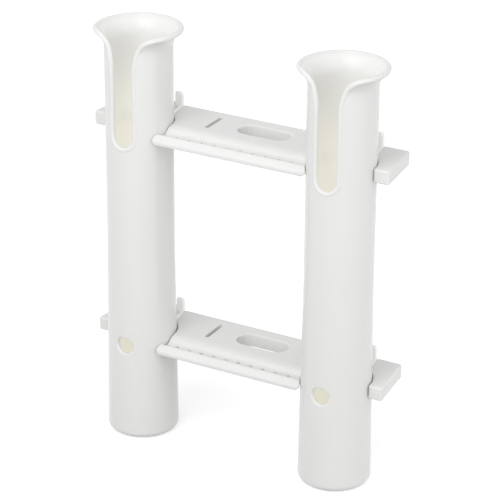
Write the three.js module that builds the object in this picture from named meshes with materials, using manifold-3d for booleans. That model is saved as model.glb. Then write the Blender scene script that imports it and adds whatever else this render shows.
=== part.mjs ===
// Wall-mounted rack for two fishing rods: two flared tubes hooked onto two moulded rails.
// Millimetres, +Z up. The wall is the plane y = 0, and the rack stands in front of it, towards -Y.
// The origin is the middle of the upper rail's back face.

import * as THREE from "three";
import { mergeVertices } from "three/addons/utils/BufferGeometryUtils.js";
import Module from "manifold-3d";

// ---- Driving dimensions ----

const TUBE_SPACING = 157.8;
const TUBE_LENGTH = 307.8;
const TUBE_RADIUS = 24;
const TUBE_FOOT_RADIUS = 25.9;
const TUBE_TAPER_HEIGHT = 150;
const TUBE_WALL = 2.4;
const TUBE_FLOOR = 3.5;
const TUBE_EDGE_RADIUS = 4.6;
const DRAIN_RADIUS = 5;
const AXIS_TO_WALL = 39.6;

const FLARE_RADIUS = 12.5;
const FLARE_SWEEP = THREE.MathUtils.degToRad(62);

const SLOT_HALF_WIDTH = 7.5;
const SLOT_BOTTOM = 226;
const SLOT_STRAIGHT_TOP = 281;
const SLOT_MOUTH_HALF_WIDTH = 24;
const SLOT_MOUTH_BELOW_RIM = 1.8;
const FRONT_HOLE_RADIUS = 6.2;
const DRIVER_HOLE_RADIUS = 4.5;

const RAIL_THICKNESS = 10;
const UPPER_RAIL_TOP = 240.1;
const LOWER_RAIL_TOP = 78.9;
const SEAT_GAP = 0.4;
const END_REACH_FRONT = 36.2;
const END_REACH_BACK = 32;
const END_FRONT = 1.9;
const MIDDLE_FRONT = 16.6;
const LIP_CHAMFER = [3.8, 4.7];

const SLIT_LENGTH = 23;
const SLIT_WIDTH = 3;
const SLIT_X = -30.5;
const PLIERS_SLOT_LENGTH = 40;
const PLIERS_SLOT_WIDTH = 17;
const PLIERS_SLOT_X = 9.5;
const OPENINGS_TO_WALL = 19.6;
const HOOK_HOLES = 10;
const HOOK_HOLE_PITCH = 10;
const HOOK_HOLE_RADIUS = 1.4;
const GROOVE_FROM_AXIS = 8;
const GROOVE_DEPTH = 5;

// The rail's front section, in y and z: each curve is its control point, then its end.
const SHOULDER_BACK = 2.4;
const SHOULDER_CURVES = [
  [-2.2, -0.3, -4, -2.4],
  [-5.4, -4.6, -7.4, -GROOVE_DEPTH],
];
const LIP_FOOT = -9.6;
const LIP_CURVES = [
  [-10.6, -4.6, -11.2, -3.6],
  [-12.6, -2.8, -13.8, -3.8],
  [-15.6, -5.6, -MIDDLE_FRONT, -8.4],
];

const HOOK_DEPTH = 7;
const HOOK_RISE = 10.1;
const HOOK_CLEARANCE = 0.35;
const HOOK_OUTER = 13;
const HOOK_SPLAY = 2.8;
const HOOK_ARM = 3;
const HOOK_ARM_AT_TOE = 2.7;
const HOOK_TOE_INNER = 7.3;
const HOOK_TOE = 3.3;
const HOOK_START = 19;
const BACK_GAP = 0.4;
const CROWN_RADIUS = 3;
const LIFT = 15;

const SCREW_RADIUS = 2.1;
const SCREW_LENGTH = 32;
const SCREW_POINT = 5;
const SCREW_HEAD_RADIUS = 3.8;
const SCREW_HEAD_RIM = 0.3;
const SCREW_HEAD_HEIGHT = 2.3;
const SCREW_CLEARANCE = 0.3;
const HEAD_SINK = 0.4;
const HEAD_PROUD = 0.1;
const CROSS_HALF_WIDTH = 0.6;
const CROSS_REACH = 2.2;
const CROSS_DEPTH = 1.4;

const ROUND_STEPS = 56;
const SMALL_ROUND_STEPS = 16;

// How far a cutting shape runs past the faces it cuts, and how far one reaches from a tube's
// axis to come out at its front.
const CUT_PAST = 5;
const CUT_FORWARD = 40;

// ---- Solids: closed three.js geometries joined and cut by manifold-3d ----

const wasm = await Module();
wasm.setup();

function solid(geometry) {
  const bare = geometry.clone();
  bare.deleteAttribute("normal");
  bare.deleteAttribute("uv");
  const welded = mergeVertices(bare, 1e-4);
  return new wasm.Manifold(new wasm.Mesh({
    numProp: 3,
    vertProperties: Float32Array.from(welded.attributes.position.array),
    triVerts: Uint32Array.from(welded.index.array),
  }));
}

function geometryOf(body) {
  const mesh = body.getMesh();
  const geometry = new THREE.BufferGeometry();
  geometry.setAttribute("position", new THREE.BufferAttribute(mesh.vertProperties, 3));
  geometry.setIndex(new THREE.BufferAttribute(mesh.triVerts, 1));
  geometry.computeVertexNormals();
  return geometry;
}

// An outline in XY, raised from z = 0.
function extrusion(outline, depth, curveSegments = SMALL_ROUND_STEPS / 2) {
  return new THREE.ExtrudeGeometry(outline, { depth, curveSegments, bevelEnabled: false });
}

// A plan outline in XY raised from z = low to z = high.
function plate(outline, low, high) {
  return solid(extrusion(outline, high - low).translate(0, 0, low));
}

function box(lowCorner, highCorner) {
  const size = highCorner.map((value, i) => value - lowCorner[i]);
  const centre = highCorner.map((value, i) => (value + lowCorner[i]) / 2);
  const geometry = new THREE.BoxGeometry(...size);
  geometry.translate(...centre);
  return solid(geometry);
}

function roundPin(radius, low, high, steps = ROUND_STEPS) {
  const geometry = new THREE.CylinderGeometry(radius, radius, high - low, steps);
  geometry.rotateX(Math.PI / 2);
  geometry.translate(0, 0, (low + high) / 2);
  return solid(geometry);
}

// A round pin lying along Y.
function crossPin(radius, x, z, low, high) {
  const geometry = new THREE.CylinderGeometry(radius, radius, high - low, SMALL_ROUND_STEPS);
  geometry.translate(x, (low + high) / 2, z);
  return solid(geometry);
}

function polygon(points) {
  return new THREE.Shape(points.map(([x, y]) => new THREE.Vector2(x, y)));
}

function oblong(x, y, length, width) {
  const radius = Math.min(length, width) / 2;
  const runX = length / 2 - radius;
  const runY = width / 2 - radius;
  const shape = new THREE.Shape();
  if (runX >= runY) {
    shape.moveTo(x - runX, y - radius);
    shape.lineTo(x + runX, y - radius);
    shape.absarc(x + runX, y, radius, -Math.PI / 2, Math.PI / 2, false);
    shape.absarc(x - runX, y, radius, Math.PI / 2, 1.5 * Math.PI, false);
  } else {
    shape.moveTo(x + radius, y - runY);
    shape.absarc(x, y + runY, radius, 0, Math.PI, false);
    shape.absarc(x, y - runY, radius, Math.PI, 2 * Math.PI, false);
  }
  return shape;
}

// ---- Hooks and the sockets they drop into ----

// One L-shaped hook in plan, side = 1 for +X. The tube's axis is the origin. The toe turns
// inward next to the wall, so that the tube can lift off but not pull forward. A socket is the
// same shape, grown by its clearance and open at the rail's back.
function hookOutline(side, grow) {
  const openBack = grow > 0 ? 1 : 0;
  const back = AXIS_TO_WALL - BACK_GAP + openBack;
  const toeFront = back - HOOK_TOE - openBack - grow;
  return polygon([
    [side * (HOOK_TOE_INNER - grow), back],
    [side * (HOOK_OUTER + grow), back],
    [side * (HOOK_OUTER + HOOK_SPLAY + grow), HOOK_START],
    [side * (HOOK_OUTER + HOOK_SPLAY - HOOK_ARM - grow), HOOK_START],
    [side * (HOOK_OUTER - HOOK_ARM_AT_TOE - grow), toeFront],
    [side * (HOOK_TOE_INNER - grow), toeFront],
  ]);
}

// The hooks of one rail: an arm as high as the rail's top, and a post above its toe.
function hooks(railTop) {
  const low = railTop - HOOK_DEPTH + HOOK_CLEARANCE;
  const high = railTop + HOOK_RISE;
  const toeFront = AXIS_TO_WALL - BACK_GAP - HOOK_TOE;
  const parts = [];
  for (const side of [-1, 1]) {
    const outline = hookOutline(side, 0);
    const arm = plate(outline, low, railTop);
    const toe = box([-TUBE_RADIUS, toeFront, low - 1], [TUBE_RADIUS, AXIS_TO_WALL, high + 1]);
    const post = plate(outline, low, high).intersect(toe).intersect(crownShape(side, high));
    parts.push(arm, post);
  }
  return parts;
}

// The outline that rounds off a post's outer top corner, seen from the front.
function crownShape(side, top) {
  const foot = top - 2 * HOOK_RISE;
  const wide = HOOK_OUTER + HOOK_SPLAY;
  const shape = new THREE.Shape();
  shape.moveTo(0, foot);
  shape.lineTo(side * wide, foot);
  shape.lineTo(side * wide, top - HOOK_RISE);
  shape.lineTo(side * HOOK_OUTER, top - CROWN_RADIUS);
  shape.quadraticCurveTo(side * HOOK_OUTER, top, side * (HOOK_OUTER - CROWN_RADIUS), top);
  shape.lineTo(0, top);
  const geometry = extrusion(shape, 2 * HOOK_TOE, 6);
  geometry.rotateX(Math.PI / 2);
  geometry.translate(0, AXIS_TO_WALL, 0);
  return solid(geometry);
}

// ---- Tube ----

function tubeRadius(z) {
  const fall = Math.max(0, 1 - z / TUBE_TAPER_HEIGHT);
  return TUBE_RADIUS + (TUBE_FOOT_RADIUS - TUBE_RADIUS) * fall;
}

// The mouth's wall follows two arcs about one centre, and a small bead closes it at the rim.
function tubeProfile() {
  const points = [];
  const bore = TUBE_RADIUS - TUBE_WALL;
  const outerArc = FLARE_RADIUS;
  const innerArc = FLARE_RADIUS + TUBE_WALL;
  const arcCentre = TUBE_RADIUS + FLARE_RADIUS;
  const beadArc = (outerArc + innerArc) / 2;
  const flareStart = TUBE_LENGTH - TUBE_WALL / 2 - beadArc * Math.sin(FLARE_SWEEP);
  const arcSteps = 6;
  points.push([DRAIN_RADIUS, 0]);
  for (let i = 0; i <= 4; i += 1) {
    const turn = (i / 4) * Math.PI / 2;
    const centre = tubeRadius(0) - TUBE_EDGE_RADIUS;
    points.push([
      centre + TUBE_EDGE_RADIUS * Math.sin(turn),
      TUBE_EDGE_RADIUS * (1 - Math.cos(turn)),
    ]);
  }
  points.push([TUBE_RADIUS, TUBE_TAPER_HEIGHT]);
  for (let i = 0; i <= arcSteps; i += 1) {
    const turn = (i / arcSteps) * FLARE_SWEEP;
    points.push([arcCentre - outerArc * Math.cos(turn), flareStart + outerArc * Math.sin(turn)]);
  }
  for (let i = 1; i <= 3; i += 1) {
    const turn = (i / 4) * Math.PI;
    const along = FLARE_SWEEP + (TUBE_WALL / 2) * Math.sin(turn) / beadArc;
    const arc = beadArc - (TUBE_WALL / 2) * Math.cos(turn);
    points.push([arcCentre - arc * Math.cos(along), flareStart + arc * Math.sin(along)]);
  }
  for (let i = arcSteps; i >= 0; i -= 1) {
    const turn = (i / arcSteps) * FLARE_SWEEP;
    points.push([arcCentre - innerArc * Math.cos(turn), flareStart + innerArc * Math.sin(turn)]);
  }
  points.push([bore, TUBE_FLOOR]);
  points.push([DRAIN_RADIUS, TUBE_FLOOR]);
  points.push(points[0]);
  return points.map(([r, z]) => new THREE.Vector2(r, z));
}

// The reel slot: parallel sides and a round bottom, curving out through the flared mouth.
function reelSlot() {
  const above = TUBE_LENGTH + CUT_PAST;
  const mouth = TUBE_LENGTH - SLOT_MOUTH_BELOW_RIM;
  const bend = { low: 11, high: 11.5, raised: 2 };
  const right = [
    [SLOT_HALF_WIDTH, SLOT_STRAIGHT_TOP + bend.low],
    [SLOT_MOUTH_HALF_WIDTH - bend.high, mouth - bend.raised],
    [SLOT_MOUTH_HALF_WIDTH, mouth],
  ];
  const centre = SLOT_BOTTOM + SLOT_HALF_WIDTH;
  const shape = new THREE.Shape();
  shape.moveTo(-SLOT_HALF_WIDTH, SLOT_STRAIGHT_TOP);
  shape.lineTo(-SLOT_HALF_WIDTH, centre);
  shape.absarc(0, centre, SLOT_HALF_WIDTH, Math.PI, 2 * Math.PI, false);
  shape.lineTo(SLOT_HALF_WIDTH, SLOT_STRAIGHT_TOP);
  shape.bezierCurveTo(...right[0], ...right[1], ...right[2]);
  shape.lineTo(SLOT_MOUTH_HALF_WIDTH + 1, above);
  shape.lineTo(-SLOT_MOUTH_HALF_WIDTH - 1, above);
  shape.lineTo(-SLOT_MOUTH_HALF_WIDTH, mouth);
  shape.bezierCurveTo(
    -right[1][0], right[1][1],
    -right[0][0], right[0][1],
    -SLOT_HALF_WIDTH, SLOT_STRAIGHT_TOP,
  );
  const geometry = extrusion(shape, CUT_FORWARD, 12);
  geometry.rotateX(Math.PI / 2);
  return solid(geometry);
}

function tubeBody() {
  const shell = solid(new THREE.LatheGeometry(tubeProfile(), ROUND_STEPS).rotateX(Math.PI / 2));
  let body = shell;
  for (const railTop of [UPPER_RAIL_TOP, LOWER_RAIL_TOP]) {
    for (const part of hooks(railTop)) body = body.add(part);
  }
  body = body.subtract(reelSlot());
  const lowScrew = LOWER_RAIL_TOP - RAIL_THICKNESS / 2;
  const highScrew = UPPER_RAIL_TOP - RAIL_THICKNESS / 2;
  body = body.subtract(crossPin(FRONT_HOLE_RADIUS, 0, lowScrew, -CUT_FORWARD, 0));
  for (const z of [lowScrew, highScrew]) {
    body = body.subtract(crossPin(DRIVER_HOLE_RADIUS, 0, z, 0, AXIS_TO_WALL));
  }
  return body;
}

// ---- Rail, with z = 0 at its top, y measured from the tubes' axes ----

// The front edge's section, looking along X: a rounded shoulder, a groove and a raised lip.
function sectionCut() {
  const under = -RAIL_THICKNESS - CUT_PAST;
  const shape = new THREE.Shape();
  shape.moveTo(SHOULDER_BACK, CUT_PAST);
  shape.lineTo(SHOULDER_BACK, 0);
  for (const curve of SHOULDER_CURVES) shape.quadraticCurveTo(...curve);
  shape.lineTo(LIP_FOOT, -GROOVE_DEPTH);
  for (const curve of LIP_CURVES) shape.quadraticCurveTo(...curve);
  shape.lineTo(-MIDDLE_FRONT, under);
  shape.lineTo(-MIDDLE_FRONT - CUT_PAST, under);
  shape.lineTo(-MIDDLE_FRONT - CUT_PAST, CUT_PAST);
  const length = TUBE_SPACING;
  const geometry = extrusion(shape, length, 5);
  geometry.applyMatrix4(new THREE.Matrix4().makeBasis(
    new THREE.Vector3(0, 1, 0), new THREE.Vector3(0, 0, 1), new THREE.Vector3(1, 0, 0),
  ));
  geometry.translate(-length / 2, 0, 0);
  return solid(geometry);
}

// The bevel that takes off the lower corner at each end of the lip.
function lipChamfer(hand, lipEnd) {
  const [across, up] = LIP_CHAMFER;
  const low = -RAIL_THICKNESS;
  const reach = 3;
  const slope = up / across;
  const shape = polygon([
    [hand * (lipEnd - across - reach), low - reach * slope],
    [hand * (lipEnd + reach), low - reach * slope],
    [hand * (lipEnd + reach), low + up + reach * slope],
  ]);
  const geometry = extrusion(shape, MIDDLE_FRONT);
  geometry.rotateX(Math.PI / 2);
  geometry.translate(0, -GROOVE_FROM_AXIS, 0);
  return solid(geometry);
}

// A rail's seats follow the tubes, which are wider low down, with room for them to lift off.
function seatRadius(railTop) {
  return tubeRadius(railTop - RAIL_THICKNESS - LIFT) + SEAT_GAP;
}

function railBody(seat) {
  const half = TUBE_SPACING / 2;
  const bar = plate(polygon([
    [-half - END_REACH_FRONT, -END_FRONT],
    [-half, -END_FRONT],
    [-half, -MIDDLE_FRONT],
    [half, -MIDDLE_FRONT],
    [half, -END_FRONT],
    [half + END_REACH_FRONT, -END_FRONT],
    [half + END_REACH_BACK, AXIS_TO_WALL],
    [-half - END_REACH_BACK, AXIS_TO_WALL],
  ]), -RAIL_THICKNESS, 0);
  let body = bar.subtract(sectionCut());

  for (const side of [-1, 1]) {
    const shift = side * half;
    body = body.subtract(roundPin(seat, -2 * RAIL_THICKNESS, RAIL_THICKNESS).translate([shift, 0, 0]));
    for (const hand of [-1, 1]) {
      const pocket = plate(hookOutline(hand, HOOK_CLEARANCE), -HOOK_DEPTH, CUT_PAST);
      body = body.subtract(pocket.translate([shift, 0, 0]));
    }
    const z = -RAIL_THICKNESS / 2;
    const socket = screwSocket().translate([shift, seat + HEAD_SINK, z]);
    body = body.subtract(socket);
  }

  const lipEnd = half - Math.sqrt(seat ** 2 - MIDDLE_FRONT ** 2);
  for (const hand of [-1, 1]) body = body.subtract(lipChamfer(hand, lipEnd));

  const openingsY = AXIS_TO_WALL - OPENINGS_TO_WALL;
  const slit = oblong(SLIT_X, openingsY, SLIT_WIDTH, SLIT_LENGTH);
  const pliers = oblong(PLIERS_SLOT_X, openingsY, PLIERS_SLOT_LENGTH, PLIERS_SLOT_WIDTH);
  for (const opening of [slit, pliers]) {
    body = body.subtract(plate(opening, -RAIL_THICKNESS - CUT_PAST, CUT_PAST));
  }
  for (let i = 0; i < HOOK_HOLES; i += 1) {
    const x = (i - (HOOK_HOLES - 1) / 2) * HOOK_HOLE_PITCH;
    const hole = roundPin(HOOK_HOLE_RADIUS, -RAIL_THICKNESS - CUT_PAST, CUT_PAST, 12);
    body = body.subtract(hole.translate([x, -GROOVE_FROM_AXIS, 0]));
  }
  return body;
}

// ---- Screw: countersunk, along +Y, with the flat of its head at y = 0 ----

function screwProfile(grow, length) {
  const shank = SCREW_RADIUS + grow;
  return [
    [0, 0],
    [SCREW_HEAD_RADIUS + grow, 0],
    [SCREW_HEAD_RADIUS + grow, SCREW_HEAD_RIM],
    [shank, SCREW_HEAD_HEIGHT],
    [shank, length - SCREW_POINT],
    [0, length],
  ];
}

function turnedAlongY(profile) {
  const points = profile.map(([r, y]) => new THREE.Vector2(r, y));
  return solid(new THREE.LatheGeometry(points, SMALL_ROUND_STEPS));
}

function screwBody() {
  const crossArms = [[CROSS_HALF_WIDTH, CROSS_REACH], [CROSS_REACH, CROSS_HALF_WIDTH]];
  let body = turnedAlongY(screwProfile(0, SCREW_LENGTH));
  for (const [x, z] of crossArms) {
    body = body.subtract(box([-x, -1, -z], [x, CROSS_DEPTH, z]));
  }
  return body;
}

// The screw's way through the rail, open towards the tube for its head and the driver.
function screwSocket() {
  const headWay = SCREW_HEAD_RADIUS + SCREW_CLEARANCE;
  const approach = crossPin(headWay, 0, 0, -2 * CUT_PAST, SCREW_HEAD_RIM / 2);
  return turnedAlongY(screwProfile(SCREW_CLEARANCE, 2 * SCREW_LENGTH)).add(approach);
}

// ---- Assembly ----

const WHITE_PLASTIC = { color: 0xf4f4f2, roughness: 0.3, metalness: 0 };
const STAINLESS_STEEL = { color: 0xb9bcc0, roughness: 0.35, metalness: 1 };

function piece(name, body, finish, position) {
  const mesh = new THREE.Mesh(geometryOf(body), new THREE.MeshStandardMaterial(finish));
  mesh.name = name;
  mesh.position.set(...position);
  return mesh;
}

const screwHeight = UPPER_RAIL_TOP - RAIL_THICKNESS / 2;
const rack = new THREE.Group();
rack.position.set(0, -AXIS_TO_WALL, -screwHeight);

const tube = tubeBody();
const screw = screwBody();
const levels = { upper: UPPER_RAIL_TOP, lower: LOWER_RAIL_TOP };
const sides = { left: -TUBE_SPACING / 2, right: TUBE_SPACING / 2 };

for (const [side, x] of Object.entries(sides)) {
  rack.add(piece(`${side}_tube`, tube, WHITE_PLASTIC, [x, 0, 0]));
}
for (const [level, top] of Object.entries(levels)) {
  const seat = seatRadius(top);
  rack.add(piece(`${level}_rail`, railBody(seat), WHITE_PLASTIC, [0, 0, top]));
  for (const [side, x] of Object.entries(sides)) {
    const place = [x, seat + HEAD_SINK - HEAD_PROUD, top - RAIL_THICKNESS / 2];
    rack.add(piece(`${level}_${side}_screw`, screw, STAINLESS_STEEL, place));
  }
}

export default rack;
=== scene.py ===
import math

import bmesh
import bpy
import numpy as np
from mathutils import Matrix, Vector
from mathutils.geometry import delaunay_2d_cdt


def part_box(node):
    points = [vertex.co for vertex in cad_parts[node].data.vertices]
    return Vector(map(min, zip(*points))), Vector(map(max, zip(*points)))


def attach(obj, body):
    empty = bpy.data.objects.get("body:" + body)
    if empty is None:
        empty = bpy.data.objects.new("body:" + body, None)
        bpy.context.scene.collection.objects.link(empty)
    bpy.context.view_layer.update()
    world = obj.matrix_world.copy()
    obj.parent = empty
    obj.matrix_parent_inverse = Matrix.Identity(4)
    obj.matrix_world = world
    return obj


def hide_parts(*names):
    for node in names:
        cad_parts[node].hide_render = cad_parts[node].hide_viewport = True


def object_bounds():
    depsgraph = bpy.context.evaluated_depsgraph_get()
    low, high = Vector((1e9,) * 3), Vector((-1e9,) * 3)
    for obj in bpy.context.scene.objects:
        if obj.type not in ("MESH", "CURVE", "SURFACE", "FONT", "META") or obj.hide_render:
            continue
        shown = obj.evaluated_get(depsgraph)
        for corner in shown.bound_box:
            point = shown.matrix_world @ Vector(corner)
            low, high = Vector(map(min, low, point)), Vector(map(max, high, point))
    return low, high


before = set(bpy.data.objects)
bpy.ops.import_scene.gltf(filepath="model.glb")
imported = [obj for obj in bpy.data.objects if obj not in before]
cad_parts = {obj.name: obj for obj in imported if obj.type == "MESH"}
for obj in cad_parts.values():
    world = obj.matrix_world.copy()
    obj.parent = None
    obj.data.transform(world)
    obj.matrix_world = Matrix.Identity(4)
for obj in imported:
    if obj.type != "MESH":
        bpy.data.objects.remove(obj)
cad_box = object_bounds()

# ---- Driving dimensions, in millimetres, in each moulding's own frame ----
# A tube's frame has z = 0 at its foot and its axis at x = y = 0. A rail's frame has z = 0 at its
# flat top, and y = 0 on the line of the tubes' axes. The front is -Y in both.

MM = 0.001
TUBE_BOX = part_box("left_tube")
RIGHT_TUBE_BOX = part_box("right_tube")
UPPER_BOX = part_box("upper_rail")
LOWER_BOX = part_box("lower_rail")

# Tube
TUBE_LENGTH = (TUBE_BOX[1].z - TUBE_BOX[0].z) / MM
TUBE_SPACING = (RIGHT_TUBE_BOX[1].x - TUBE_BOX[1].x) / MM
TUBE_RADIUS = 24.0
FOOT_RADIUS = 25.9
TAPER_HEIGHT = 150.0
WALL = 2.4
BORE_FLOOR = 3.5
BORE_FILLET = 3.0
FOOT_EDGE = 4.6
DRAIN_RADIUS = 5.0
DRAIN_LIP = 0.6
FLARE_ARC = 12.5
FLARE_SWEEP = math.radians(62)
AXIS_TO_WALL = 39.6

# Reel slot, which widens into the flare, and the round holes
SLOT_HALF_WIDTH = 7.4
SLOT_BOTTOM = 226.1
SLOT_STRAIGHT_TOP = 281.0
SLOT_BEND = 13.0
SLOT_MOUTH_RUN = 25.0
SLOT_MOUTH_FLAT = 8.0
FRONT_HOLE_RADIUS = 6.2
DRIVER_HOLE_RADIUS = 4.5

# Rail
RAIL_THICKNESS = (UPPER_BOX[1].z - UPPER_BOX[0].z) / MM
RAIL_TOPS = [(box[1].z - TUBE_BOX[0].z) / MM for box in (UPPER_BOX, LOWER_BOX)]
SEAT_GAP = 0.4
LIFT = 15.0
END_REACH_FRONT = 36.2
END_REACH_BACK = 32.0
END_FRONT = 1.9
MIDDLE_FRONT = 16.6
SLIT_X, SLIT_WIDTH, SLIT_LENGTH = -30.5, 3.0, 23.0
PLIERS_X, PLIERS_LENGTH, PLIERS_WIDTH = 9.5, 40.0, 17.0
OPENINGS_Y = AXIS_TO_WALL - 19.6
HOOK_HOLES, HOOK_HOLE_PITCH, HOOK_HOLE_RADIUS = 10, 10.0, 1.4
GROOVE_Y, GROOVE_DEPTH = -8.0, 5.0
LIP_CHAMFER = (3.8, 4.7)
LIP_CORNER = (1.25, 2.5)

# The rail's top between the tubes, from back to front, as (y, z) points. Each curve has its start,
# the point that it bends towards and its end.
SHOULDER_CURVES = [
    [(2.4, 0), (-2.2, -0.3), (-4, -2.4)],
    [(-4, -2.4), (-5.4, -4.6), (GROOVE_Y + 0.6, -GROOVE_DEPTH)],
    [(GROOVE_Y + 0.6, -GROOVE_DEPTH), (GROOVE_Y - 0.5, -GROOVE_DEPTH), (GROOVE_Y - 1.6, -GROOVE_DEPTH)],
    [(GROOVE_Y - 1.6, -GROOVE_DEPTH), (-10.6, -4.6), (-11.2, -3.6)],
    [(-11.2, -3.6), (-12.6, -2.8), (-13.8, -3.8)],
    [(-13.8, -3.8), (-15.6, -5.6), (-MIDDLE_FRONT, -8.4)],
]

# Hooks, and their sockets in the rails
HOOK_DEPTH = 7.0
HOOK_RISE = 10.1
HOOK_GAP = 0.35
BACK_GAP = 0.4
HOOK_TOE = 3.3
HOOK_TOE_INNER = 7.3
HOOK_OUTER = 13.0
HOOK_TOE_ARM = 2.7
HOOK_ARM = 3.0
HOOK_SPLAY = 2.8 / 20.2
HOOK_START = 22.0
SOCKET_START = 19.0
SOCKET_OPEN_BACK = 1.0
CROWN_RADIUS = 3.0
POST_INSET = 0.05
POST_FOOT = 0.5

# Screw
SCREW_RADIUS = 2.1
SCREW_CORE = 1.55
SCREW_HEAD_RADIUS = 3.8
SCREW_HEAD_HEIGHT = 2.3
SCREW_HEAD_RIM = 0.4
SCREW_HEAD_EDGE = 0.15
SCREW_POINT = 5.0
SCREW_GAP = 0.3
HEAD_SINK = 0.4
THREAD_PITCH = 1.4
CROSS_HALF_WIDTH, CROSS_REACH, CROSS_DEPTH, CROSS_TAPER = 0.62, 2.2, 1.5, 0.72

# How much each edge is rounded
RAIL_EDGE = 1.1
SLIT_EDGE = 0.5
PLIERS_EDGE = 1.0
HOOK_HOLE_EDGE = 0.35
HOOK_EDGE = 0.6

# How finely outlines and turned bodies are built
OUTLINE_EASE = 1.2
OUTLINE_STEP = 0.8
TURNED_STEPS = 32

# Colours, and the painted glow: emission that stands in for light coming through thin walls
WHITE_PALE, WHITE_DEEP = (0.8, 0.8, 0.79), (0.775, 0.777, 0.77)
BORE_PALE, BORE_DEEP = (0.81, 0.807, 0.795), (0.785, 0.783, 0.77)
STEEL_DARK, STEEL_LIGHT = (0.62, 0.62, 0.63), (0.74, 0.74, 0.75)
FLOOR_DEEP, FLOOR_PALE = (0.93, 0.93, 0.93), (0.94, 0.94, 0.94)
# Painted glow in the bore, emission that stands in for light: brighter deep down, weaker at the mouth
BORE_PAINTED_GLOW = (0.2, 0.194, 0.165)
MOUTH_PAINTED_GLOW = (0.045, 0.045, 0.045)
# Painted glow on the hooks: emission that lifts the hooks and posts out of the shade behind the tubes
HOOK_PAINTED_GLOW = (0.16, 0.16, 0.157)

# Studio, in metres. Each light has a name, a place, a size and a power, and all face one point.
WORLD_LIGHT = 1.0
SKY_BELOW, SKY_HORIZON, SKY_ABOVE = 0.22, 0.85, 0.6
HORIZON_STOP = 0.55
FLOOR_LIGHT = 0.35
FLOOR_DROP = 0.0002
LIGHTS_AIM = (0, -0.03, -0.08)
LIGHTS = [("front_softbox", (-0.1, -1.25, 0.95), 1.6, 7.0),
          ("near_softbox", (-0.1, -0.5, 0.12), 0.4, 0.25),
          ("top_softbox", (0, -0.42, 0.62), 0.4, 0.75),
          ("right_softbox", (1.2, -0.3, 0.1), 0.8, 3.6)]

# Camera: what it looks at, from where, and through which lens
CAMERA_AIM = (0.0097, -AXIS_TO_WALL * MM, TUBE_BOX[0].z + 0.1596)
CAMERA_AZIMUTH = math.radians(28.84)
CAMERA_ELEVATION = math.radians(24.18)
CAMERA_ROLL = math.radians(0.43)
CAMERA_DISTANCE = 1.5902
CAMERA_LENS = 164.9


# ---- Materials ----

def new_material(name):
    material = bpy.data.materials.new(name)
    material.use_nodes = True
    nodes = material.node_tree.nodes
    return material, nodes, material.node_tree.links, nodes["Principled BSDF"]


def noise(nodes, links, coords, scale, detail=2.0, rough=0.5):
    node = nodes.new("ShaderNodeTexNoise")
    node.inputs["Scale"].default_value = scale
    node.inputs["Detail"].default_value = detail
    node.inputs["Roughness"].default_value = rough
    links.new(coords.outputs["Object"], node.inputs["Vector"])
    return node


def spread(nodes, links, source, low, high):
    node = nodes.new("ShaderNodeMapRange")
    node.inputs["From Min"].default_value = 0.3
    node.inputs["From Max"].default_value = 0.7
    node.inputs["To Min"].default_value = low
    node.inputs["To Max"].default_value = high
    links.new(source, node.inputs["Value"])
    return node


def bump(nodes, links, height, strength, distance, below=None):
    node = nodes.new("ShaderNodeBump")
    node.inputs["Strength"].default_value = strength
    node.inputs["Distance"].default_value = distance
    links.new(height, node.inputs["Height"])
    if below is not None:
        links.new(below.outputs["Normal"], node.inputs["Normal"])
    return node


def blend(nodes, links, factor, first, second):
    """A colour between first, where the factor is 0, and second, where it is 1."""
    node = nodes.new("ShaderNodeMix")
    node.data_type = "RGBA"
    node.inputs["A"].default_value = (*first, 1)
    node.inputs["B"].default_value = (*second, 1)
    links.new(factor, node.inputs["Factor"])
    return node.outputs["Result"]


def moulded_plastic(name, pale, deep, painted_glow=None, painted_mouth_glow=None):
    """Glossy white moulding: a fine skin over slow flow waves, with faint tone and gloss changes.

    The glow is painted light: an emission that stands in for light coming through a thin wall. In the bore
    it changes at the top to a weaker painted glow at the mouth, so the deep bore is painted brighter.
    """
    material, nodes, links, shader = new_material(name)
    coords = nodes.new("ShaderNodeTexCoord")
    skin = noise(nodes, links, coords, scale=1100)
    waves = noise(nodes, links, coords, scale=26, detail=1.0, rough=0.4)
    cloud = noise(nodes, links, coords, scale=14)
    tone = blend(nodes, links, cloud.outputs["Fac"], pale, deep)
    links.new(tone, shader.inputs["Base Color"])
    gloss = spread(nodes, links, waves.outputs["Fac"], low=0.2, high=0.27)
    links.new(gloss.outputs["Result"], shader.inputs["Roughness"])
    slow = bump(nodes, links, waves.outputs["Fac"], strength=0.06, distance=0.0006)
    fine = bump(nodes, links, skin.outputs["Fac"], strength=0.06, distance=0.00003, below=slow)
    links.new(fine.outputs["Normal"], shader.inputs["Normal"])
    shader.inputs["IOR"].default_value = 1.49
    shader.inputs["Subsurface Weight"].default_value = 0.3
    shader.inputs["Subsurface Radius"].default_value = (1.0, 0.95, 0.85)
    shader.inputs["Subsurface Scale"].default_value = 0.006
    # Painted light: a constant emission brightens the surface as if lit through the wall
    if painted_glow:
        shader.inputs["Emission Color"].default_value = (*painted_glow, 1)
        shader.inputs["Emission Strength"].default_value = 1.0
    # Painted light that fades with height: the full glow in the deep bore, a weaker glow at the mouth
    if painted_mouth_glow:
        place = nodes.new("ShaderNodeSeparateXYZ")
        links.new(coords.outputs["Object"], place.inputs["Vector"])
        fade = nodes.new("ShaderNodeMapRange")
        fade.interpolation_type = "SMOOTHSTEP"
        fade.inputs["From Min"].default_value = UPPER_BOX[0].z
        fade.inputs["From Max"].default_value = TUBE_BOX[1].z - 0.006
        links.new(place.outputs["Z"], fade.inputs["Value"])
        light = blend(nodes, links, fade.outputs["Result"], painted_glow, painted_mouth_glow)
        links.new(light, shader.inputs["Emission Color"])
    return material


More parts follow.
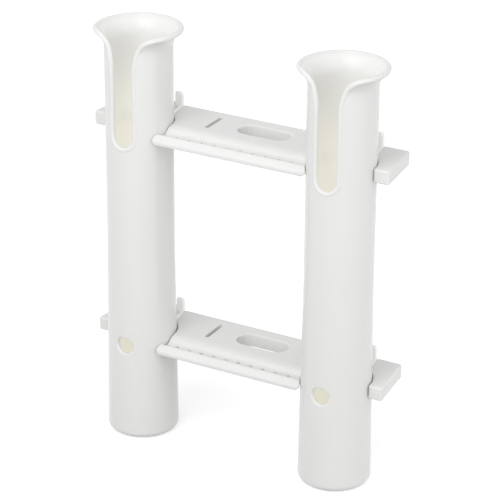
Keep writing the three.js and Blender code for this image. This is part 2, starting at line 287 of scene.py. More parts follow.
def stainless_steel(name):
    """Turned steel: rings of fine tool marks round the screw's axis, which runs along Y."""
    material, nodes, links, shader = new_material(name)
    coords = nodes.new("ShaderNodeTexCoord")
    stretch = nodes.new("ShaderNodeMapping")
    stretch.inputs["Scale"].default_value = (1, 14, 1)
    links.new(coords.outputs["Object"], stretch.inputs["Vector"])
    marks = nodes.new("ShaderNodeTexNoise")
    marks.inputs["Scale"].default_value = 500
    marks.inputs["Detail"].default_value = 3
    links.new(stretch.outputs["Vector"], marks.inputs["Vector"])
    gloss = spread(nodes, links, marks.outputs["Fac"], low=0.22, high=0.4)
    links.new(gloss.outputs["Result"], shader.inputs["Roughness"])
    tone = blend(nodes, links, marks.outputs["Fac"], STEEL_DARK, STEEL_LIGHT)
    links.new(tone, shader.inputs["Base Color"])
    rings = bump(nodes, links, marks.outputs["Fac"], strength=0.2, distance=0.00005)
    links.new(rings.outputs["Normal"], shader.inputs["Normal"])
    shader.inputs["Metallic"].default_value = 1
    return material


def floor_paint(name):
    """A pale light table."""
    material, nodes, links, shader = new_material(name)
    coords = nodes.new("ShaderNodeTexCoord")
    grain = noise(nodes, links, coords, scale=3)
    tone = blend(nodes, links, grain.outputs["Fac"], FLOOR_DEEP, FLOOR_PALE)
    links.new(tone, shader.inputs["Base Color"])
    shader.inputs["Roughness"].default_value = 0.8
    shader.inputs["Specular IOR Level"].default_value = 0.1
    shader.inputs["Emission Color"].default_value = (1, 1, 1, 1)
    shader.inputs["Emission Strength"].default_value = FLOOR_LIGHT
    return material


WHITE = moulded_plastic("white_moulding", WHITE_PALE, WHITE_DEEP)
# The hooks glow with painted light that lifts them out of shade
GLOWING_HOOK_WHITE = moulded_plastic("white_moulding_hooks_painted_glow", WHITE_PALE, WHITE_DEEP, HOOK_PAINTED_GLOW)
# The bore glows with painted light, brightest deep down
BORE = moulded_plastic("white_moulding_bore_painted_glow", BORE_PALE, BORE_DEEP, BORE_PAINTED_GLOW, MOUTH_PAINTED_GLOW)
STEEL = stainless_steel("turned_steel")


# ---- Plane outlines: lists of (x, y), counter-clockwise round material ----

def arc(centre, radius, start, end, step=1.0):
    count = max(4, round(abs(end - start) * radius / step))
    angles = np.linspace(start, end, count + 1)
    return [(centre[0] + radius * math.cos(a), centre[1] + radius * math.sin(a)) for a in angles]


def resampled(points, step, closed=True):
    """Evenly spaced points along the outline, which keeps its first point."""
    line = np.array(points, float)
    if closed:
        line = np.concatenate([line, line[:1]])
    run = np.concatenate([[0], np.cumsum(np.linalg.norm(np.diff(line, axis=0), axis=1))])
    count = max(3, round(run[-1] / step))
    where = np.linspace(0, run[-1], count + 1)
    even = np.stack([np.interp(where, run, line[:, k]) for k in (0, 1)], 1)
    return even[:-1] if closed else even


def eased(points, reach, step, closed=True):
    """The outline with its corners rounded off: each point becomes a bell-weighted mean along it."""
    fine = 0.2
    line = resampled(points, fine, closed)
    width = round(4 * reach / fine)
    if closed:
        padded = np.concatenate([line[-width:], line, line[:width]])
    else:
        before = line[0] - (line[1] - line[0]) * np.arange(width, 0, -1)[:, None]
        after = line[-1] + (line[-1] - line[-2]) * np.arange(1, width + 1)[:, None]
        padded = np.concatenate([before, line, after])
    bell = np.exp(-0.5 * (np.arange(-width, width + 1) * fine / reach) ** 2)
    bell /= bell.sum()
    smooth = np.stack([np.convolve(padded[:, k], bell, "valid") for k in (0, 1)], 1)
    return resampled(smooth, step, closed)


def outward(line):
    """The unit direction away from the material at each point of a closed outline."""
    along = np.roll(line, -1, 0) - np.roll(line, 1, 0)
    along /= np.linalg.norm(along, axis=1)[:, None]
    return np.stack([along[:, 1], -along[:, 0]], 1)


def oblong(x, y, length, width, step):
    """A hole's outline, clockwise, with round ends along X or Y."""
    radius = min(length, width) / 2
    run_x, run_y = length / 2 - radius, width / 2 - radius
    if run_x >= run_y:
        points = arc((x + run_x, y), radius, math.pi / 2, -math.pi / 2)
        points += arc((x - run_x, y), radius, -math.pi / 2, -1.5 * math.pi)
    else:
        points = arc((x, y + run_y), radius, math.pi, 0)
        points += arc((x, y - run_y), radius, 0, -math.pi)
    return resampled(points, step)


def inside(points, loops):
    """Whether each point has the material's outlines wound round it."""
    hits = np.zeros(len(points), bool)
    for loop in loops:
        a, b = loop, np.roll(loop, -1, 0)
        for (x1, y1), (x2, y2) in zip(a, b):
            if y1 == y2:
                continue
            span = (points[:, 1] >= min(y1, y2)) & (points[:, 1] < max(y1, y2))
            cross = x1 + (points[:, 1] - y1) * (x2 - x1) / (y2 - y1)
            hits ^= span & (points[:, 0] < cross)
    return hits


def clearance(points, loops):
    """Distance from each point to the nearest outline point."""
    edge = np.concatenate(loops)
    best = np.full(len(points), 1e9)
    for chunk in np.array_split(edge, max(1, len(edge) // 200)):
        gap = np.linalg.norm(points[:, None, :] - chunk[None, :, :], axis=2)
        best = np.minimum(best, gap.min(1))
    return best


def filled(loops, grid, room):
    """Triangles over the area inside the outlines, through the grid's points that have room.

    A tiny unevenness keeps the triangulation from stumbling over points on one straight line.
    """
    uneven_by, uneven_waves = 1e-3, (12.9, 78.2)
    grid = grid[inside(grid, loops)]
    grid = grid[clearance(grid, loops) > room]
    points = np.concatenate(loops + [grid])
    loops = [loop + uneven_by * np.sin(np.arange(len(loop))[:, None] * uneven_waves) for loop in loops]
    uneven = np.concatenate(loops + [grid])
    edges = []
    start = 0
    for loop in loops:
        count = len(loop)
        edges += [(start + i, start + (i + 1) % count) for i in range(count)]
        start += count
    flat, _, faces, origin, _, _ = delaunay_2d_cdt([Vector(p) for p in uneven], edges, [], 0, 1e-6)
    flat = np.array([tuple(v) for v in flat])
    faces = np.array(faces)
    faces = faces[inside(flat[faces].mean(1), loops)]
    index = np.array([min(o) if o else -1 for o in origin])
    if (index < 0).any() or len(flat) != len(points):
        raise RuntimeError("an outline crosses itself")
    return points, index[faces]


# ---- Mesh helpers ----

class Shell:
    """Collects points, their normals and faces, and welds them into one mesh."""

    def __init__(self):
        self.points, self.normals, self.faces, self.slots = [], [], [], []
        self.count = 0

    def add(self, points, normals):
        start = self.count
        self.points.append(np.asarray(points, float))
        self.normals.append(np.asarray(normals, float))
        self.count += len(points)
        return start

    def face(self, corners, slot=0):
        self.faces.append(tuple(int(c) for c in corners))
        self.slots.append(slot)

    def ribbon(self, rows, slot=0, closed=True):
        """Quads between rows of point numbers."""
        for low, high in zip(rows, rows[1:]):
            count = len(low)
            for i in range(count if closed else count - 1):
                j = (i + 1) % count
                self.face((low[i], low[j], high[j], high[i]), slot)

    def mesh(self, name, materials, keep_normals):
        data = bpy.data.meshes.new(name)
        points = np.concatenate(self.points) * MM
        data.from_pydata(points.tolist(), [], self.faces)
        for material in materials:
            data.materials.append(material)
        data.polygons.foreach_set("material_index", self.slots)
        normals = data.attributes.new("built_normal", "FLOAT_VECTOR", "POINT")
        normals.data.foreach_set("vector", np.concatenate(self.normals).astype(np.float32).ravel())
        bm = bmesh.new()
        bm.from_mesh(data)
        bmesh.ops.remove_doubles(bm, verts=bm.verts, dist=2e-6)
        bmesh.ops.dissolve_degenerate(bm, edges=bm.edges, dist=1e-7)
        bmesh.ops.recalc_face_normals(bm, faces=bm.faces)
        bm.to_mesh(data)
        bm.free()
        data.shade_smooth()
        if keep_normals:
            values = np.zeros(len(data.vertices) * 3, np.float32)
            data.attributes["built_normal"].data.foreach_get("vector", values)
            data.normals_split_custom_set_from_vertices(values.reshape(-1, 3).tolist())
        data.attributes.remove(data.attributes["built_normal"])
        return data


def placed(name, data, position):
    """A new object of a copy of the mesh, moved to the position in metres."""
    data = data.copy()
    data.transform(Matrix.Translation(Vector(position)))
    data.name = name
    obj = bpy.data.objects.new(name, data)
    bpy.context.scene.collection.objects.link(obj)
    return obj


def prism(points, low, high):
    """A closed block on the outline, as a mesh in metres."""
    bm = bmesh.new()
    base = [bm.verts.new((x * MM, y * MM, low * MM)) for x, y in points]
    top = [bm.verts.new((x * MM, y * MM, high * MM)) for x, y in points]
    bm.faces.new(base)
    bm.faces.new(top)
    for i in range(len(points)):
        j = (i + 1) % len(points)
        bm.faces.new((base[i], base[j], top[j], top[i]))
    bmesh.ops.recalc_face_normals(bm, faces=bm.faces)
    data = bpy.data.meshes.new("block")
    bm.to_mesh(data)
    bm.free()
    return data


def lathe_y(profile, steps=TURNED_STEPS):
    """A closed turned body along Y, from (radius, y) points that start and end on the axis."""
    bm = bmesh.new()
    rows = []
    for r, y in profile:
        if r == 0:
            rows.append([bm.verts.new((0, y * MM, 0))])
            continue
        turn = [2 * math.pi * i / steps for i in range(steps)]
        rows.append([bm.verts.new((r * math.cos(a) * MM, y * MM, r * math.sin(a) * MM)) for a in turn])
    for low, high in zip(rows, rows[1:]):
        for i in range(steps):
            j = (i + 1) % steps
            corners = [low[i % len(low)], low[j % len(low)], high[j % len(high)], high[i % len(high)]]
            bm.faces.new(list(dict.fromkeys(corners)))
    bmesh.ops.recalc_face_normals(bm, faces=bm.faces)
    data = bpy.data.meshes.new("turned")
    bm.to_mesh(data)
    bm.free()
    return data


def joined(meshes):
    """One mesh of several, which stay separate shells in it."""
    bm = bmesh.new()
    for data in meshes:
        bm.from_mesh(data)
    result = bpy.data.meshes.new("joined")
    bm.to_mesh(result)
    bm.free()
    return result


def combined(data, other, operation):
    """The exact boolean of two meshes."""
    body = placed("body", data, (0, 0, 0))
    tool = placed("tool", other, (0, 0, 0))
    modifier = body.modifiers.new("cut", "BOOLEAN")
    modifier.operation = operation
    modifier.solver = "EXACT"
    modifier.object = tool
    result = settled(body)
    bpy.data.objects.remove(tool)
    bpy.data.objects.remove(body)
    return result


def settled(obj):
    """The object's mesh with its modifiers worked in."""
    graph = bpy.context.evaluated_depsgraph_get()
    return bpy.data.meshes.new_from_object(obj.evaluated_get(graph))


def softened(data, width, segments=3, angle=35):
    """The mesh with its sharp edges rounded."""
    obj = placed("soft", data, (0, 0, 0))
    modifier = obj.modifiers.new("edges", "BEVEL")
    modifier.width = width * MM
    modifier.segments = segments
    modifier.limit_method = "ANGLE"
    modifier.angle_limit = math.radians(angle)
    result = settled(obj)
    bpy.data.objects.remove(obj)
    return result


def weighted_normals(obj, angle=38):
    """Smooth shading that keeps flat faces flat, with a crease wherever faces meet at over the angle."""
    obj.data.shade_smooth()
    obj.data.set_sharp_from_angle(angle=math.radians(angle))
    modifier = obj.modifiers.new("normals", "WEIGHTED_NORMAL")
    modifier.keep_sharp = True
    modifier.weight = 80


def repainted(data, material):
    data.materials.clear()
    data.materials.append(material)
    data.polygons.foreach_set("material_index", [0] * len(data.polygons))
    return data


# ---- Tube ----

# A place on the wall is (u, s) in the unrolled plane: u round its middle from the front, and s up it.
MID_ARC = FLARE_ARC + WALL / 2
FLARE_START = TUBE_LENGTH - WALL / 2 - MID_ARC * math.sin(FLARE_SWEEP)
ARC_CENTRE = TUBE_RADIUS + FLARE_ARC
BORE_RADIUS = TUBE_RADIUS - WALL
RIM_S = FLARE_START + MID_ARC * FLARE_SWEEP
WALL_START = 9.0
COLUMNS = 240
SEAM_ROWS = 90
SEAM = math.radians(-250)
MIDDLE_RADIUS = TUBE_RADIUS - WALL / 2
ROW_STEP, FLARE_ROW_STEP = 4.0, 0.9

# The rolled bead along the rim and the slot is thicker than the wall.
BEAD = 1.75
BEAD_TURN = math.pi - math.asin(WALL / 2 / BEAD)
BEAD_SETBACK = -BEAD * math.cos(BEAD_TURN)
EDGE_S = RIM_S - BEAD_SETBACK - (BEAD - WALL / 2)


def wall_at(s):
    """The wall's outer and inner points as (r, z), and its outward normal, at a run s up the wall."""
    s = np.asarray(s, float)
    fall = np.clip(1 - s / TAPER_HEIGHT, 0, None)
    turn = np.clip((s - FLARE_START) / MID_ARC, 0, None)
    straight = turn <= 0
    z = np.where(straight, s, FLARE_START)
    outer_r = np.where(straight, TUBE_RADIUS + (FOOT_RADIUS - TUBE_RADIUS) * fall,
                       ARC_CENTRE - FLARE_ARC * np.cos(turn))
    inner_r = np.where(straight, BORE_RADIUS, ARC_CENTRE - (FLARE_ARC + WALL) * np.cos(turn))
    outer = np.stack([outer_r, z + FLARE_ARC * np.sin(turn)], -1)
    inner = np.stack([inner_r, z + (FLARE_ARC + WALL) * np.sin(turn)], -1)
    normal = np.stack([np.cos(turn), -np.sin(turn)], -1)
    return outer, inner, normal


def spun(rz, theta):
    """The place, or direction, of (r, z) at the angle theta from the front."""
    return np.stack([rz[:, 0] * np.sin(theta), -rz[:, 0] * np.cos(theta), rz[:, 1]], 1)


def slot_curve():
    """The reel slot's edge line in the unrolled plane, down the right cheek, round and up the left."""
    half = SLOT_HALF_WIDTH + BEAD + BEAD_SETBACK
    ends = [(SLOT_MOUTH_RUN, EDGE_S), (SLOT_MOUTH_RUN - SLOT_MOUTH_FLAT, EDGE_S),
            (half, SLOT_STRAIGHT_TOP + SLOT_BEND), (half, SLOT_STRAIGHT_TOP)]
    right = []
    for t in np.linspace(0, 1, 40):
        weights = ((1 - t) ** 3, 3 * t * (1 - t) ** 2, 3 * t * t * (1 - t), t ** 3)
        right.append(tuple(sum(w * p[k] for w, p in zip(weights, ends)) for k in (0, 1)))
    bottom = arc((0, SLOT_BOTTOM + SLOT_HALF_WIDTH), half, 0, -math.pi)
    right += bottom[: len(bottom) // 2 + 1]
    return right + [(-u, s) for u, s in right[-2::-1]]


def tube_outlines():
    """The wall's outlines in the unrolled plane: the rim and slot first, then the round holes."""
    left, right = SEAM * MIDDLE_RADIUS, (SEAM + 2 * math.pi) * MIDDLE_RADIUS
    top = [(right, EDGE_S), *slot_curve(), (left, EDGE_S)]
    edge = eased(top, OUTLINE_EASE, OUTLINE_STEP, closed=False)
    columns = np.linspace(left, right, COLUMNS + 1)
    foot = np.stack([columns, np.full(COLUMNS + 1, WALL_START)], 1)
    climb = np.linspace(WALL_START, EDGE_S, SEAM_ROWS)[1:-1]
    rise = np.stack([np.full(len(climb), right), climb], 1)
    fall = np.stack([np.full(len(climb), left), climb[::-1]], 1)
    outline = np.concatenate([foot, rise, edge, fall])
    first_edge = len(foot) + len(rise)
    holes = []
    for angle, height, radius in tube_holes():
        count = round(2 * math.pi * radius / OUTLINE_STEP)
        turn = -np.linspace(0, 2 * math.pi, count, endpoint=False)
        grow = radius + WALL / 2
        circle = np.stack([angle * MIDDLE_RADIUS + grow * np.cos(turn), height + grow * np.sin(turn)], 1)
        holes.append(circle)
    return outline, holes, range(first_edge, first_edge + len(edge))


def tube_holes():
    """Each round hole's angle from the front, height and radius."""
    high, low = (top - RAIL_THICKNESS / 2 for top in RAIL_TOPS)
    return [(0, low, FRONT_HOLE_RADIUS), (-math.pi, low, DRIVER_HOLE_RADIUS),
            (-math.pi, high, DRIVER_HOLE_RADIUS)]


def edge_ring(shell, uv, closed, bead=WALL / 2, steps=8):
    """The round edge where the wall ends, turning from the outer face to the inner one.

    A bead wider than the wall stands out from both faces.
    """
    theta, s = uv[:, 0] / MIDDLE_RADIUS, uv[:, 1]
    outer, inner, normal = wall_at(s)
    middle = (outer + inner) / 2
    if closed:
        along = np.roll(uv, -1, 0) - np.roll(uv, 1, 0)
    else:
        along = np.gradient(uv, axis=0)
    across = along[:, 0] * middle[:, 0] / MIDDLE_RADIUS
    up = along[:, 1]
    side = np.stack([np.cos(theta), np.sin(theta), np.zeros(len(theta))], 1)
    climb = spun(np.stack([-normal[:, 1], normal[:, 0]], 1), theta)
    away = up[:, None] * side - across[:, None] * climb
    away /= np.linalg.norm(away, axis=1)[:, None]
    out = spun(normal, theta)
    wall = np.linalg.norm(outer - inner, axis=1)[:, None]
    full = math.pi - math.asin(min(1, WALL / 2 / bead))
    centre = (spun(outer, theta) + spun(inner, theta)) / 2 - away * bead * math.cos(full)
    radius = bead * wall / WALL
    rows = []
    for k in range(steps + 1):
        turn = full * (1 - 2 * k / steps)
        normals = away * math.cos(turn) + out * math.sin(turn)
        if k in (0, steps):
            normals = out if k == 0 else -out
        points = centre + away * (bead * math.cos(turn)) + out * radius * math.sin(turn)
        start = shell.add(points, normals)
        rows.append(range(start, start + len(points)))
    shell.ribbon(rows, 0, closed)


def tube_foot(shell):
    """The closed foot: rounded outer edge, drain hole and the bore's filleted floor."""
    foot = FOOT_RADIUS - FOOT_EDGE
    outer, inner, _ = wall_at([WALL_START])
    side = float(wall_at([FOOT_EDGE])[0][0, 0])
    profile = [(outer[0, 0], WALL_START), (side, FOOT_EDGE)]
    for turn in np.linspace(0, math.pi / 2, 9)[1:]:
        profile.append((foot + (side - foot) * math.cos(turn), FOOT_EDGE * (1 - math.sin(turn))))
    first_inside = len(profile) + 1
    for turn in np.linspace(0, math.pi, 9):
        profile.append((DRAIN_RADIUS + DRAIN_LIP - DRAIN_LIP * math.sin(turn),
                        BORE_FLOOR / 2 - (BORE_FLOOR / 2) * math.cos(turn)))
    for turn in np.linspace(-math.pi / 2, 0, 7):
        profile.append((BORE_RADIUS - BORE_FILLET + BORE_FILLET * math.cos(turn),
                        BORE_FLOOR + BORE_FILLET + BORE_FILLET * math.sin(turn)))
    profile.append((inner[0, 0], WALL_START))
    line = np.array(profile)
    tangent = np.gradient(line, axis=0)
    tangent /= np.linalg.norm(tangent, axis=1)[:, None]
    normal = np.stack([-tangent[:, 1], tangent[:, 0]], 1)
    normal[0] = (1, 0)
    normal[-1] = (-1, 0)
    theta = SEAM + np.arange(COLUMNS) * 2 * math.pi / COLUMNS
    rows = []
    for point, direction in zip(line, normal):
        ring = spun(np.tile(point, (COLUMNS, 1)), theta)
        start = shell.add(ring, spun(np.tile(direction, (COLUMNS, 1)), theta))
        rows.append(range(start, start + COLUMNS))
    shell.ribbon(rows[: first_inside + 1], 0)
    shell.ribbon(rows[first_inside:], 1)


def tube_mesh():
    """A tube without its hooks: the unrolled wall is filled, wrapped round, and given its edges and foot."""
    shell = Shell()
    outline, holes, edge = tube_outlines()
    below_flare = FLARE_START - 2
    straight = np.arange(WALL_START + ROW_STEP, below_flare, ROW_STEP)
    flare = np.arange(below_flare, EDGE_S, FLARE_ROW_STEP)
    columns = np.linspace(outline[0, 0], outline[COLUMNS, 0], COLUMNS + 1)[1:-1]
    grid = np.array([(u, s) for s in np.concatenate([straight, flare]) for u in columns])
    points, faces = filled([outline, *holes], grid, room=0.55)
    theta = points[:, 0] / MIDDLE_RADIUS
    outer, inner, normal = wall_at(points[:, 1])
    out = spun(normal, theta)
    first = shell.add(spun(outer, theta), out)
    second = shell.add(spun(inner, theta), -out)
    for corners in faces:
        shell.face(corners + first, 0)
        shell.face(corners[::-1] + second, 1)
    edge_ring(shell, outline[list(edge)], closed=False, bead=BEAD, steps=14)
    for hole in holes:
        edge_ring(shell, hole, closed=True)
    tube_foot(shell)
    return shell.mesh("tube", [WHITE, BORE], keep_normals=True)


# ---- Hooks on the tubes ----

def hook_outline(side, grow):
    """One hook in plan, or with grow its socket, which is larger by that much all round.

    Its toe turns inward at the wall, so that the tube lifts off but can't pull out.
    """
    open_back = SOCKET_OPEN_BACK if grow else 0.0
    back = AXIS_TO_WALL - BACK_GAP + open_back
    toe = back - HOOK_TOE - (open_back + grow)
    start = SOCKET_START if grow else HOOK_START
    outer = HOOK_OUTER + grow + HOOK_SPLAY * (AXIS_TO_WALL - start)
    inner = HOOK_TOE_INNER - grow
    points = [(inner, back), (HOOK_OUTER + grow, back), (outer, start),
              (outer - HOOK_ARM - 2 * grow, start), (HOOK_OUTER - HOOK_TOE_ARM - grow, toe), (inner, toe)]
    return [(side * x, y) for x, y in points]


def along_y(points, front, back):
    """A closed block on the outline of (x, z) points, between two places along Y."""
    data = prism(points, -back, -front)
    data.transform(Matrix.Rotation(math.pi / 2, 4, "X"))
    return data


def post(side, low, high):
    """The upright above a hook's toe, with its outer top corner rounded off."""
    outer, inner = HOOK_OUTER - POST_INSET, HOOK_TOE_INNER + POST_INSET
    crown_at = (outer - CROWN_RADIUS, high - CROWN_RADIUS)
    corner = arc(crown_at, CROWN_RADIUS, 0, math.pi / 2, step=0.5)
    points = [(inner, low), (outer, low), *corner, (inner, high)]
    back = AXIS_TO_WALL - BACK_GAP
    return along_y([(side * x, z) for x, z in points], back - HOOK_TOE + POST_INSET, back - POST_INSET)


def hooks_mesh():
    """All the hooks of one tube, with rounded edges."""
    parts = []
    for top in RAIL_TOPS:
        low = top - HOOK_DEPTH + HOOK_GAP
        for side in (-1, 1):
            arm = prism(hook_outline(side, 0), low, top)
            upright = post(side, low + POST_FOOT, top + HOOK_RISE)
            parts += [softened(arm, HOOK_EDGE), softened(upright, HOOK_EDGE)]
    # The hooks take the glowing material: painted light against the shade behind the tubes
    return repainted(joined(parts), GLOWING_HOOK_WHITE)


# ---- Rail ----

def shoulder_profile():
    """Height of the rail's top between the tubes, from back to front, as (y, z) points."""
    points = []
    for a, b, c in SHOULDER_CURVES:
        for t in np.linspace(0, 1, 9)[:-1]:
            weights = ((1 - t) ** 2, 2 * t * (1 - t), t * t)
            points.append(tuple(weights[0] * a[k] + weights[1] * b[k] + weights[2] * c[k] for k in (0, 1)))
    points.append(SHOULDER_CURVES[-1][-1])
    return np.array(points)


PROFILE = shoulder_profile()


def rail_height(xy):
    """Height of the rail's top face at each point."""
    shaped = np.interp(xy[:, 1], PROFILE[::-1, 0], PROFILE[::-1, 1])
    return np.where(np.abs(xy[:, 0]) < TUBE_SPACING / 2, shaped, 0.0)


def seat_radius(rail_top):
    """A rail's seats follow the tubes, with room for the wider foot to pass as a tube lifts off."""
    reach = rail_top - RAIL_THICKNESS - LIFT
    return TUBE_RADIUS + (FOOT_RADIUS - TUBE_RADIUS) * max(0, 1 - reach / TAPER_HEIGHT) + SEAT_GAP


def lip_end(seat):
    """How far from the rail's middle its lip meets the tube."""
    return TUBE_SPACING / 2 - math.sqrt(seat ** 2 - MIDDLE_FRONT ** 2)


def rail_outline(seat):
    """A rail in plan, with the lip's ends cut a little where they meet the tubes."""
    half = TUBE_SPACING / 2
    across, back = LIP_CORNER
    at_end = math.asin(END_FRONT / seat)
    at_lip = math.asin((MIDDLE_FRONT - back) / seat)
    left_seat = arc((-half, 0), seat, math.pi + at_end, -at_lip)
    right_seat = arc((half, 0), seat, math.pi + at_lip, -at_end)
    front = lip_end(seat) - across
    points = [(-half - END_REACH_FRONT, -END_FRONT), *left_seat, (-front, -MIDDLE_FRONT),
              (front, -MIDDLE_FRONT), *right_seat, (half + END_REACH_FRONT, -END_FRONT),
              (half + END_REACH_BACK, AXIS_TO_WALL), (-half - END_REACH_BACK, AXIS_TO_WALL)]
    return eased(points, OUTLINE_EASE, OUTLINE_STEP)


def rail_openings():
    """Each hole's outline, and how much its edges are rounded."""
    openings = [(oblong(SLIT_X, OPENINGS_Y, SLIT_WIDTH, SLIT_LENGTH, step=0.6), SLIT_EDGE),
                (oblong(PLIERS_X, OPENINGS_Y, PLIERS_LENGTH, PLIERS_WIDTH, step=0.9), PLIERS_EDGE)]
    turn = -np.linspace(0, 2 * math.pi, 20, endpoint=False)
    for i in range(HOOK_HOLES):
        x = (i - (HOOK_HOLES - 1) / 2) * HOOK_HOLE_PITCH
        circle = np.stack([x + HOOK_HOLE_RADIUS * np.cos(turn),
                           GROOVE_Y + HOOK_HOLE_RADIUS * np.sin(turn)], 1)
        openings.append((circle, HOOK_HOLE_EDGE))
    return openings


def rounded_side(shell, true_line, radius, steps=5):
    """The side wall under one outline, with its upper and lower edges rounded. Gives the inset line.

    The rounding is half as large along the lip.
    """
    away = outward(true_line)
    finer_at_lip = np.interp(true_line[:, 1], [-MIDDLE_FRONT + 2, GROOVE_Y], [0.5, 1])
    size = (radius * finer_at_lip)[:, None]
    inset = true_line - away * size
    top = rail_height(inset)[:, None]
    away3 = np.concatenate([away, np.zeros((len(away), 1))], 1)
    up = np.array([0, 0, 1.0])
    rows = []
    for k in range(steps + 1):
        turn = math.pi / 2 * k / steps
        place = np.concatenate([inset + away * size * math.sin(turn), top - size * (1 - math.cos(turn))], 1)
        start = shell.add(place, away3 * math.sin(turn) + up * math.cos(turn))
        rows.append(range(start, start + len(place)))
    for k in range(steps + 1):
        turn = math.pi / 2 * k / steps
        low = np.full_like(top, -RAIL_THICKNESS) + size * (1 - math.sin(turn))
        place = np.concatenate([inset + away * size * math.cos(turn), low], 1)
        start = shell.add(place, away3 * math.cos(turn) - up * math.sin(turn))
        rows.append(range(start, start + len(place)))
    shell.ribbon(rows)
    return inset


def rail_mesh(seat):
    """A rail whose seats have this radius."""
    shell = Shell()
    loops = [rounded_side(shell, rail_outline(seat), RAIL_EDGE)]
    for line, radius in rail_openings():
        loops.append(rounded_side(shell, line, radius))
    half = TUBE_SPACING / 2
    flat_rows = np.arange(5.0, AXIS_TO_WALL, 3.0)
    shaped_rows = PROFILE[:, 0]
    columns = np.arange(-half - END_REACH_FRONT, half + END_REACH_FRONT, 2.5)
    grid = [(x, y) for y in flat_rows for x in columns]
    grid += [(x, y) for y in shaped_rows for x in columns[np.abs(columns) < half]]
    points, faces = filled(loops, np.array(grid), room=0.3)
    top = rail_height(points)[:, None]
    up = np.tile((0, 0, 1.0), (len(points), 1))
    first = shell.add(np.concatenate([points, top], 1), up)
    second = shell.add(np.concatenate([points, np.full_like(top, -RAIL_THICKNESS)], 1), -up)
    for corners in faces:
        shell.face(corners + first)
        shell.face(corners[::-1] + second)
    data = shell.mesh("rail", [WHITE], keep_normals=False)
    return repainted(combined(data, rail_cutter(seat), "DIFFERENCE"), WHITE)


def rail_cutter(seat):
    """The sockets for the tubes' hooks, the countersunk ways for the screws and the lip's end bevels."""
    tools = []
    across, up = LIP_CHAMFER
    reach = 3
    rise = reach * up / across
    low = -RAIL_THICKNESS - rise
    high = low + up + 2 * rise
    lip_front, lip_back = GROOVE_Y - 20, GROOVE_Y - 1
    end = lip_end(seat)
    for side in (-1, 1):
        corner = [(end - across - reach, low), (end + reach, low), (end + reach, high)]
        tools.append(along_y([(side * x, z) for x, z in corner], lip_front, lip_back))
    head, shank = SCREW_HEAD_RADIUS + SCREW_GAP, SCREW_RADIUS + SCREW_GAP
    before_seat, past_wall, head_rim = -9, 30, 0.3
    way_profile = [(0, before_seat), (head, before_seat), (head, head_rim),
                   (shank, SCREW_HEAD_HEIGHT), (shank, past_wall), (0, past_wall)]
    for centre in (-TUBE_SPACING / 2, TUBE_SPACING / 2):
        for side in (-1, 1):
            outline = [(x + centre, y) for x, y in hook_outline(side, HOOK_GAP)]
            tools.append(prism(outline, -HOOK_DEPTH, 5))
        way = lathe_y(way_profile)
        way.transform(Matrix.Translation(Vector((centre, seat + HEAD_SINK, -RAIL_THICKNESS / 2)) * MM))
        tools.append(way)
    return joined(tools)


# ---- Screw, along +Y from the flat of its head ----

def screw_mesh(length):
    """A turned body whose rows are then drawn in and out to the thread."""
    rows_per_turn = 10
    head, core = SCREW_HEAD_RADIUS, SCREW_CORE
    first, last = SCREW_HEAD_HEIGHT + 1.2, length - 0.4
    rows = int((last - first) / THREAD_PITCH * rows_per_turn)
    profile = [(0, 0), (head - SCREW_HEAD_EDGE, 0), (head, SCREW_HEAD_EDGE), (head, SCREW_HEAD_RIM),
               (core + 0.35, SCREW_HEAD_HEIGHT), (core + 0.1, SCREW_HEAD_HEIGHT + 0.5)]
    profile += [(1.0, first + (last - first) * k / rows) for k in range(rows + 1)]
    profile.append((0, length))
    data = lathe_y(profile)
    for vertex in data.vertices:
        x, y, z = (value / MM for value in vertex.co)
        radius = math.hypot(x, z)
        if y < first - 1e-4 or radius == 0:
            continue
        turn = math.atan2(z, x) / (2 * math.pi)
        phase = (y / THREAD_PITCH - turn) % 1
        crest = max(0.0, 1 - abs(phase - 0.5) * 4) ** 0.8
        fade = min(1.0, (y - first) / THREAD_PITCH, max(0.0, (length - y) / SCREW_POINT))
        tip = min(1.0, (length - y) / SCREW_POINT)
        wanted = core * tip ** 0.7 + (SCREW_RADIUS - core) * crest * fade
        vertex.co.x *= wanted / radius
        vertex.co.z *= wanted / radius
    for arm in (cross_arm(CROSS_HALF_WIDTH, CROSS_REACH), cross_arm(CROSS_REACH, CROSS_HALF_WIDTH)):
        data = combined(data, arm, "DIFFERENCE")
    return repainted(data, STEEL)


def cross_arm(x, z):
    """One arm of the driver's cross, narrower at its bottom."""
    bottom = x * CROSS_TAPER
    return prism([(-x, -1), (x, -1), (bottom, CROSS_DEPTH), (-bottom, CROSS_DEPTH)], -z, z)


# ---- Assembly ----

def build_tubes():
    tube = tube_mesh()
    hooks = hooks_mesh()
    for side, x in (("left", -TUBE_SPACING / 2), ("right", TUBE_SPACING / 2)):
        body = f"{side}_tube"
        place = (x * MM, -AXIS_TO_WALL * MM, TUBE_BOX[0].z)
        shell = placed(f"{side}_rod_tube", tube, place)
        back = placed(f"{side}_tube_hooks", hooks, place)
        weighted_normals(back)
        for piece in (shell, back):
            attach(piece, body)
            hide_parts(body)


def build_rails():
    for level, box, top in zip(("upper", "lower"), (UPPER_BOX, LOWER_BOX), RAIL_TOPS):
        rail = rail_mesh(seat_radius(top))
        piece = placed(f"{level}_tool_rail", rail, (0, -AXIS_TO_WALL * MM, box[1].z))
        weighted_normals(piece)
        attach(piece, "rails")
        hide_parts(f"{level}_rail")


def build_screws():
    low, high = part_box("upper_left_screw")
    screw = screw_mesh((high.y - low.y) / MM)
    for level in ("upper", "lower"):
        for side in ("left", "right"):
            node = f"{level}_{side}_screw"
            low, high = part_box(node)
            place = ((low.x + high.x) / 2, low.y, (low.z + high.z) / 2)
            piece = placed(f"{node}_threaded", screw, place)
            weighted_normals(piece, 50)
            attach(piece, "rails")
            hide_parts(node)


# ---- Camera, floor and light ----

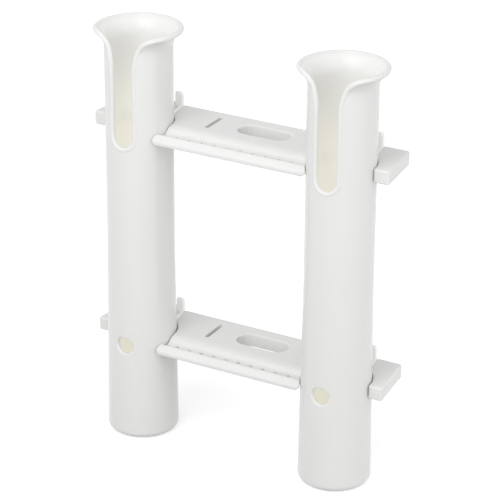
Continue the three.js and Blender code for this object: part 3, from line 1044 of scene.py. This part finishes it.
def build_camera():
    data = bpy.data.cameras.new("camera")
    data.lens = CAMERA_LENS
    data.clip_end = 20
    camera = bpy.data.objects.new("camera", data)
    bpy.context.scene.collection.objects.link(camera)
    bpy.context.scene.camera = camera
    level = math.cos(CAMERA_ELEVATION)
    back = Vector((math.sin(CAMERA_AZIMUTH) * level, -math.cos(CAMERA_AZIMUTH) * level,
                   math.sin(CAMERA_ELEVATION)))
    right = Vector((math.cos(CAMERA_AZIMUTH), math.sin(CAMERA_AZIMUTH), 0))
    up = back.cross(right)
    tilted_right = right * math.cos(CAMERA_ROLL) + up * math.sin(CAMERA_ROLL)
    tilted_up = back.cross(tilted_right)
    turn = Matrix((tilted_right, tilted_up, back)).transposed().to_4x4()
    camera.matrix_world = Matrix.Translation(Vector(CAMERA_AIM) + back * CAMERA_DISTANCE) @ turn


def area_light(name, place, size, power):
    data = bpy.data.lights.new(name, "AREA")
    data.size = size
    data.energy = power
    light = bpy.data.objects.new(name, data)
    bpy.context.scene.collection.objects.link(light)
    light.location = place
    light.rotation_euler = (Vector(LIGHTS_AIM) - Vector(place)).to_track_quat("-Z", "Y").to_euler()


def build_world():
    """Soft light from all round, strongest near the horizon and weakest from below."""
    world = bpy.data.worlds.new("studio")
    world.use_nodes = True
    nodes, links = world.node_tree.nodes, world.node_tree.links
    coords = nodes.new("ShaderNodeTexCoord")
    split = nodes.new("ShaderNodeSeparateXYZ")
    links.new(coords.outputs["Generated"], split.inputs["Vector"])
    ramp = nodes.new("ShaderNodeValToRGB")
    height = nodes.new("ShaderNodeMapRange")
    height.inputs["From Min"].default_value = -1
    links.new(split.outputs["Z"], height.inputs["Value"])
    links.new(height.outputs["Result"], ramp.inputs["Fac"])
    stops = ramp.color_ramp.elements
    stops[0].position, stops[0].color = 0.0, (SKY_BELOW, SKY_BELOW, SKY_BELOW, 1)
    stops[1].position, stops[1].color = 1.0, (SKY_ABOVE, SKY_ABOVE, SKY_ABOVE, 1)
    stops.new(HORIZON_STOP).color = (SKY_HORIZON, SKY_HORIZON, SKY_HORIZON, 1)
    links.new(ramp.outputs["Color"], nodes["Background"].inputs["Color"])
    nodes["Background"].inputs["Strength"].default_value = WORLD_LIGHT
    bpy.context.scene.world = world


def build_studio():
    reach, thickness = 6000, 20
    data = prism([(-reach, -reach), (reach, -reach), (reach, reach), (-reach, reach)], -thickness, 0)
    data.materials.append(floor_paint("floor_paint"))
    floor = placed("floor", data, (0, 0, cad_box[0][2] - FLOOR_DROP))
    floor.visible_diffuse = False
    build_world()
    for light in LIGHTS:
        area_light(*light)
    bpy.context.scene.view_settings.view_transform = "Standard"


build_camera()
build_tubes()
build_rails()
build_screws()
build_studio()
